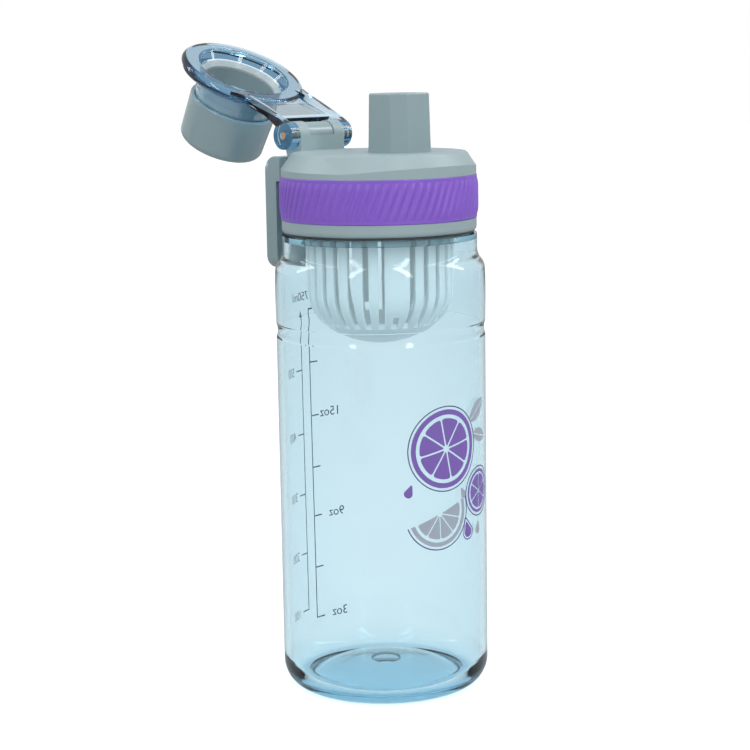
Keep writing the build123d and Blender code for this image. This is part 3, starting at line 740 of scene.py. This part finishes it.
scale_print = join(marks + numbers, "volume_scale")
slice_up(scale_print, 0, SCALE_SLICE)
slice_up(scale_print, 1, SCALE_SLICE)
ink_skin(scale_print)
scale_start = SCALE_BEARING - math.degrees(SCALE_LEAN * SCALE_MIDDLE / BODY_R)
wrap(scale_print, bottle_skin, scale_start, BODY_R, SCALE_LEAN)
finish_piece(scale_print, scale_ink, "bottle")

# %% [markdown]
# ## The fruit motif
# The front carries a two-colour print with a thin outline. Here it is a simple fruit motif: a citrus
# wheel, a half slice, leaves and drops. Each shape could be traced point by point. It is quicker, and
# rounder, to start from a filled circle and cut, inset or pull it. Each ink is one piece, so each
# keeps its own colour.

# %% Cut fruits
RIND_SHARE = 0.87
OUTLINE_OUTER, OUTLINE_INNER = 1.25 * MM, 0.85 * MM
SEGMENT_SHARE, SEGMENT_GAP_SHARE, SEGMENT_ROUNDING_SHARE = 0.72, 0.055, 0.06
CORNER_REACH_SHARE = 0.02


def disc(x, y, radius, corners=64):
    """A flat filled circle."""
    start_clean()
    bpy.ops.mesh.primitive_circle_add(vertices=corners, radius=radius, fill_type="NGON", location=(x, y, 0))
    return settle(bpy.context.active_object)


def hollow(piece, width):
    """Leave a flat shape's border of this width: inset it and delete its middle."""
    pick(piece, "FACE")
    bpy.ops.mesh.inset(thickness=width, use_even_offset=True)
    bpy.ops.mesh.delete(type="FACE")
    bpy.ops.object.mode_set(mode="OBJECT")
    return piece


def cut_half(piece, x, y, angle):
    """Cut a flat shape along a line and keep the side that the angle points to."""
    away = Vector((math.cos(angle), math.sin(angle), 0))
    pick(piece, "FACE")
    bpy.ops.mesh.bisect(plane_co=(x, y, 0), plane_no=away, clear_inner=True)
    bpy.ops.object.mode_set(mode="OBJECT")


def segment(x, y, fruit_radius, middle, spread):
    """One segment of a cut fruit, with rounded corners."""
    radius = fruit_radius * SEGMENT_SHARE
    gap = fruit_radius * SEGMENT_GAP_SHARE
    piece = disc(0, 0, radius)
    cut_half(piece, 0, 0, middle - spread / 2 + math.pi / 2)
    cut_half(piece, 0, 0, middle + spread / 2 - math.pi / 2)
    corners = [(0.0, 0.0)]
    for side in (-1, 1):
        turn = middle + side * spread / 2
        corners.append((radius * math.cos(turn), radius * math.sin(turn)))
    near = CORNER_REACH_SHARE * radius
    pick(piece, "VERT", lambda v: any(math.hypot(v.co.x - a, v.co.y - b) < near for a, b in corners))
    bpy.ops.mesh.bevel(affect="VERTICES", offset=fruit_radius * SEGMENT_ROUNDING_SHARE, segments=4)
    bpy.ops.object.mode_set(mode="OBJECT")
    piece.location = (x + gap * math.cos(middle), y + gap * math.sin(middle), 0)
    return settle(piece)


def fruit(x, y, radius, segments, start, half_only=False):
    """Rind, segments and outline of a cut fruit: (rind and segments, outline)."""
    rind = hollow(disc(x, y, radius), radius - radius * RIND_SHARE)
    outer, inner = radius + OUTLINE_OUTER, radius + OUTLINE_INNER
    outline = hollow(disc(x, y, outer), outer - inner)
    flesh = []
    spread = (math.pi if half_only else 2 * math.pi) / segments
    for index in range(segments):
        flesh.append(segment(x, y, radius, start + (index + 0.5) * spread, spread))
    if half_only:
        cut_half(rind, x, y, start + math.pi / 2)
        cut_half(outline, x, y, start + math.pi / 2)
    return [rind] + flesh, [outline]


wheel, wheel_line = fruit(x=-4.5 * MM, y=9.5 * MM, radius=13.5 * MM, segments=8, start=0.2)
small_wheel, small_line = fruit(x=13.5 * MM, y=-8.0 * MM, radius=7.6 * MM, segments=6, start=0.5)
slice_half, slice_line = fruit(
    x=-7.5 * MM, y=-12.5 * MM, radius=11.5 * MM, segments=5, start=math.pi + 0.35, half_only=True
)
print("shapes of the big wheel:", len(wheel))

# %% [markdown]
# A leaf is what two large, equal circles share where they overlap. Each half is cut from one of the
# circles, a little off the leaf's long axis, so that the rib between the halves stays bare.

# %% Leaves
LEAF_RIB = 0.16 * MM
LEAF_CORNERS = 160


def leaf(x, y, length, width, angle):
    """A leaf in two halves, with a bare rib between them."""
    halves = []
    reach = length / 2
    bow = (reach * reach - width * width / 4) / width
    radius = bow + width / 2
    for side in (-1, 1):
        half_leaf = disc(0, -side * bow, radius, LEAF_CORNERS)
        cut_half(half_leaf, 0, side * LEAF_RIB, side * math.pi / 2)
        halves.append(half_leaf)
    piece = join(halves, "leaf")
    piece.rotation_euler = (0, 0, angle)
    piece.location = (x, y, 0)
    return settle(piece)


leaves = [
    leaf(x=12.5 * MM, y=20.5 * MM, length=13 * MM, width=5.6 * MM, angle=0.55),
    leaf(x=14.5 * MM, y=11.5 * MM, length=11 * MM, width=4.8 * MM, angle=-0.25),
]
print("leaves:", len(leaves))

# %% [markdown]
# A drop is a disc whose upper half is stretched upwards and drawn in, more and more towards the top.
# That is less work than a bevelled triangle, and its foot stays truly round.

# %% Drops
DROP_CORNERS = 48
DROP_PULL_SHARE, DROP_WAIST_SHARE = 0.9, 0.45
DROP_LINE = 0.4 * MM


def drop(x, y, radius, angle, outlined=False):
    """A drop: a disc whose top is pulled to a point, or the outline of one."""
    piece = disc(0, 0, radius, DROP_CORNERS)
    for vertex in piece.data.vertices:
        if vertex.co.y > 0:
            rise = vertex.co.y / radius
            vertex.co.y *= 1 + DROP_PULL_SHARE * rise
            vertex.co.x *= 1 - DROP_WAIST_SHARE * rise
    if outlined:
        hollow(piece, DROP_LINE)
    piece.rotation_euler = (0, 0, angle)
    piece.location = (x, y, 0)
    return settle(piece)


purple_drops = [
    drop(x=6.0 * MM, y=-21.0 * MM, radius=2.0 * MM, angle=0.3),
    drop(x=-19.0 * MM, y=-4.5 * MM, radius=1.6 * MM, angle=-0.4),
]
grey_drops = [
    drop(x=12.5 * MM, y=-21.5 * MM, radius=1.6 * MM, angle=-0.2),
    drop(x=3.6 * MM, y=-7.4 * MM, radius=1.4 * MM, angle=0.5),
]
line_drops = [drop(x=6.0 * MM, y=-21.0 * MM, radius=2.9 * MM, angle=0.3, outlined=True)]
print("drops:", len(purple_drops + grey_drops + line_drops))

# %% [markdown]
# The shapes are drawn about the motif's middle. Only now do they get their size and their place on the
# bottle, so one value each moves the whole motif up, moves it round and scales it.

# %% Print the motif on the bottle
MOTIF_HEIGHT = 85 * MM
MOTIF_BEARING = -92
MOTIF_SCALE = 1.07
MOTIF_SLICE = 1.2 * MM

motif_purple = join(wheel + small_wheel + purple_drops, "motif_purple")
motif_grey = join(slice_half + leaves + grey_drops, "motif_grey")
motif_line = join(wheel_line + small_line + slice_line + line_drops, "motif_outline")
for piece, ink, slot in (
    (motif_purple, purple_ink, "purple_grip"),
    (motif_grey, grey_ink, "grey_plastic"),
    (motif_line, line_ink, "grey_plastic"),
):
    slice_up(piece, 0, MOTIF_SLICE)
    ink_skin(piece)
    for vertex in piece.data.vertices:
        vertex.co.x *= MOTIF_SCALE
        vertex.co.y = vertex.co.y * MOTIF_SCALE + MOTIF_HEIGHT
    wrap(piece, bottle_skin, MOTIF_BEARING, BODY_R)
    finish_piece(piece, ink, "bottle")

# %% [markdown]
# ## Ribs of the grip band
# The soft band is moulded with seventy low slanting ribs. A bump in the material would look right
# only from the front, and would leave the band's outline smooth. So each rib is real: a flat bar,
# sliced both ways so that it can bend, domed by a cosine across its width, then given its slant and a
# slight S. One rib is modelled. The others are copies, laid side by side along the flat band before
# all are wrapped at once.

# %% Model one rib
band_low, band_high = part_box("grip_band")
BAND_R = band_high[0]
RIB_COUNT = 70
RIB_PITCH = 2 * math.pi * BAND_R / RIB_COUNT
RIB_HEIGHT = 13.4 * MM
RIB_WIDTH = 2.5 * MM
RIB_RISE = 0.5 * MM
RIB_SLANT = 4.6 * MM
RIB_BEND = 0.12 * MM
RIB_FOOT = 0.01 * MM
RIB_END_POWER = 6
SLICES_ACROSS, SLICES_ALONG = 8, 10


def block(*size):
    """A cube at the origin, stretched to a size."""
    start_clean()
    bpy.ops.mesh.primitive_cube_add(size=1, location=(0, 0, 0))
    piece = bpy.context.active_object
    piece.scale = size
    return settle(piece)


rib = block(RIB_WIDTH, RIB_HEIGHT, RIB_RISE)
slice_up(rib, 0, RIB_WIDTH / SLICES_ACROSS)
slice_up(rib, 1, RIB_HEIGHT / SLICES_ALONG)
for vertex in rib.data.vertices:
    dome = max(math.cos(math.pi * vertex.co.x / RIB_WIDTH), 0.0)
    share = vertex.co.y / (RIB_HEIGHT / 2)
    if vertex.co.z > 0:
        vertex.co.z = RIB_RISE * dome * (1 - abs(share) ** RIB_END_POWER) + RIB_FOOT
    vertex.co.x += RIB_SLANT / 2 * share + RIB_BEND * math.sin(math.pi * share)
print("one rib:", len(rib.data.polygons), "faces")


# %% [markdown]
# The band is thought of as cut open and laid flat. Each copy steps along it by one seventieth of its
# length, so that the last rib meets the first again once the row is wrapped.

# %% Copy it round the band
def row_of(piece, count, pitch, height):
    """Copies of a piece at a height, side by side along x, in place of the piece itself."""
    row = []
    for index in range(count):
        twin = copy_of(piece)
        for vertex in twin.data.vertices:
            vertex.co.x += index * pitch
            vertex.co.y += height
        row.append(twin)
    bpy.data.objects.remove(piece)
    return row


grip_ribs = join(row_of(rib, RIB_COUNT, RIB_PITCH, (band_low[2] + band_high[2]) / 2), "grip_ribs")
wrap(grip_ribs, skin_of("grip_band"), 0, BAND_R)
smooth(grip_ribs, 40)
finish_piece(grip_ribs, purple_rubber, "cap")

# %% [markdown]
# ## The thread on the neck
# Under the cap, the neck has a screw thread, which shows when the cap is off. It could be swept along
# a helix drawn as a curve. The Screw modifier does it with fewer parts: a small profile is turned and
# lifted at once, and the two open ends are closed with a face each.

# %% Turn the thread
NECK_R = 32.0 * MM
THREAD_ROOT = NECK_R - 0.15 * MM
THREAD_CREST = NECK_R + 0.7 * MM
ROOT_HALF_HEIGHT, CREST_HALF_HEIGHT = 1.0 * MM, 0.45 * MM
THREAD_START = 177.0 * MM
THREAD_PITCH = 4.0 * MM
THREAD_TURNS = 1.35
THREAD_ANGLE = 2 * math.pi * THREAD_TURNS
THREAD_STEPS = 96
FADE = math.radians(24)

start_clean()
bpy.ops.mesh.primitive_plane_add(size=1, location=(0, 0, 0))
thread = bpy.context.active_object
profile = [
    (THREAD_ROOT, -ROOT_HALF_HEIGHT),
    (THREAD_CREST, -CREST_HALF_HEIGHT),
    (THREAD_ROOT, ROOT_HALF_HEIGHT),
    (THREAD_CREST, CREST_HALF_HEIGHT),
]
for vertex, (out, up) in zip(thread.data.vertices, profile):
    vertex.co = (out, 0, THREAD_START + up)
pick(thread, "FACE")
bpy.ops.mesh.delete(type="ONLY_FACE")
bpy.ops.object.mode_set(mode="OBJECT")
helix = thread.modifiers.new("helix", "SCREW")
helix.angle = THREAD_ANGLE
helix.screw_offset = THREAD_PITCH * THREAD_TURNS
helix.steps = THREAD_STEPS
bpy.ops.object.modifier_apply(modifier=helix.name)
bpy.ops.object.mode_set(mode="EDIT")
bpy.ops.mesh.select_all(action="SELECT")
bpy.ops.mesh.fill_holes(sides=4)
bpy.ops.mesh.normals_make_consistent(inside=False)
bpy.ops.object.mode_set(mode="OBJECT")
print("thread turned:", len(thread.data.vertices), "points")

# %% [markdown]
# At both ends, each point of the thread is drawn back towards the neck. The share of its height that
# it keeps grows from nothing to all over the first and last 24 degrees.

# %% Fade its ends
for vertex in thread.data.vertices:
    turned = (vertex.co.z - THREAD_START) / THREAD_PITCH * 2 * math.pi
    left = min(turned, THREAD_ANGLE - turned)
    share = min(max(left / FADE, 0.0), 1.0)
    out = math.hypot(vertex.co.x, vertex.co.y)
    level = THREAD_ROOT + (out - THREAD_ROOT) * share
    vertex.co.x *= level / out
    vertex.co.y *= level / out
thread.name = "neck_thread"
smooth(thread, 30)
finish_piece(thread, pale_clear, "bottle")


# %% [markdown]
# ## The dark gap under the cap
# The inner cap's rim comes down close to the bottle's flat ledge, behind the outer cap's lip, and
# stands in the narrow gap between cap and bottle. A dark line painted on the bottle would stay behind
# when the cap is lifted. So the gap holds a ring that rides on the cap: in shape the inner cap's rim,
# in colour a near-black painted shade for the dark gap.

# %% Model the rim
RIM_OUTER, RIM_INNER = 35.2 * MM, 32.45 * MM
RIM_LOW, RIM_HIGH = 171.1 * MM, 171.95 * MM
RIM_ROUNDING = 0.2 * MM
RIM_SIDES = 128
TINY = 1e-6

cap_rim = hollow(disc(0, 0, RIM_OUTER, RIM_SIDES), RIM_OUTER - RIM_INNER)
cap_rim.name = "inner_cap_rim"
cap_rim.data.name = cap_rim.name
cap_rim.location = (0, 0, RIM_LOW)
settle(cap_rim)
pick(cap_rim, "FACE")
bpy.ops.mesh.extrude_region_move(TRANSFORM_OT_translate={"value": (0, 0, RIM_HIGH - RIM_LOW)})
bpy.ops.mesh.select_all(action="SELECT")
bpy.ops.mesh.normals_make_consistent(inside=False)
bpy.ops.object.mode_set(mode="OBJECT")


def on_rim(edge):
    """An edge along one of the rim's four circles."""
    one, other = (cap_rim.data.vertices[index].co for index in edge.vertices)
    return abs(one.z - other.z) < TINY and abs(one.xy.length - other.xy.length) < TINY


pick(cap_rim, "EDGE", on_rim)
bpy.ops.mesh.bevel(offset=RIM_ROUNDING, segments=2)
bpy.ops.object.mode_set(mode="OBJECT")
smooth(cap_rim, 35)
# The ring's near-black grey is painted shade for the gap.
finish_piece(cap_rim, painted_shade_grey, "cap")

# %% [markdown]
# ## Lugs inside the cap
# The inner cap has three short lugs that run in the neck's thread. Cut from a ring, they would have
# sharp ends. A block that is bevelled on its inner side, sliced so that it can bend, and wrapped on the
# cap's inner wall, keeps its soft edges. The lugs sit below the thread's lowest turn, so that nothing
# meets while the cap turns.

# %% Model one lug and copy it
LUG_COUNT = 3
LUG_LENGTH, LUG_HEIGHT, LUG_DEPTH = 9 * MM, 1.3 * MM, 1.5 * MM
LUG_ROUNDING = 0.4 * MM
LUG_SLICE = 1.0 * MM
LUG_MIDDLE = 174.8 * MM
LUG_BEARING = 30

lug = block(LUG_LENGTH, LUG_HEIGHT, LUG_DEPTH)
pick(lug, "EDGE", lambda edge: all(lug.data.vertices[v].co.z < 0 for v in edge.vertices))
bpy.ops.mesh.bevel(offset=LUG_ROUNDING, segments=2)
bpy.ops.object.mode_set(mode="OBJECT")
slice_up(lug, 0, LUG_SLICE)
cap_lugs = join(row_of(lug, LUG_COUNT, 2 * math.pi * NECK_R / LUG_COUNT, LUG_MIDDLE), "cap_lugs")
wrap(cap_lugs, skin_of("inner_cap"), LUG_BEARING, NECK_R, from_inside=True)
finish_piece(cap_lugs, grey_plastic, "cap")

# %% [markdown]
# ## Nibs in the lid's mouth
# Six tiny nibs stand on the sloping mouth of the lid's ring, and catch the light as small bright and
# dark flecks. The lid leans, so they can't be placed upright. One nib is modelled at the origin, and
# each copy is first put round a level ring and then leant with the lid.

# %% Model one nib and copy it
LID_ANGLE = math.radians(28.5)
RING_REACH = 45.9 * MM
NIB_COUNT = 6
NIB_SIZE = (1.1 * MM, 1.5 * MM, 0.9 * MM)
NIB_ROUNDING = 0.25 * MM
NIB_RADIUS, NIB_RISE = 17.75 * MM, 1.55 * MM
NIB_START, NIB_STEP = 8, 360 / NIB_COUNT

hinge_low, hinge_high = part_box("hinge_pin")
pin = Vector((0, (hinge_low[1] + hinge_high[1]) / 2, (hinge_low[2] + hinge_high[2]) / 2))
arm = Vector((0, math.cos(LID_ANGLE), math.sin(LID_ANGLE)))
mouth = Vector((0, -math.sin(LID_ANGLE), math.cos(LID_ANGLE)))
lid_lean = Matrix((Vector((1, 0, 0)), arm, mouth)).transposed()
lid_place = Matrix.Translation(pin + RING_REACH * arm) @ lid_lean.to_4x4()

nib = block(*NIB_SIZE)
pick(nib, "EDGE")
bpy.ops.mesh.bevel(offset=NIB_ROUNDING, segments=2)
bpy.ops.object.mode_set(mode="OBJECT")
nibs = []
for index in range(NIB_COUNT):
    angle = math.radians(NIB_START + NIB_STEP * index)
    spoke = Vector((math.cos(angle), math.sin(angle), 0))
    across = Vector((-math.sin(angle), math.cos(angle), 0))
    spoke_turn = Matrix((spoke, across, Z_AXIS)).transposed()
    place = Matrix.Translation(spoke * NIB_RADIUS + NIB_RISE * Z_AXIS)
    twin = copy_of(nib)
    twin.matrix_world = lid_place @ (place @ spoke_turn.to_4x4())
    nibs.append(settle(twin))
bpy.data.objects.remove(nib)
mouth_nibs = join(nibs, "mouth_nibs")
smooth(mouth_nibs, 40)
finish_piece(mouth_nibs, blue_clear, "lid")
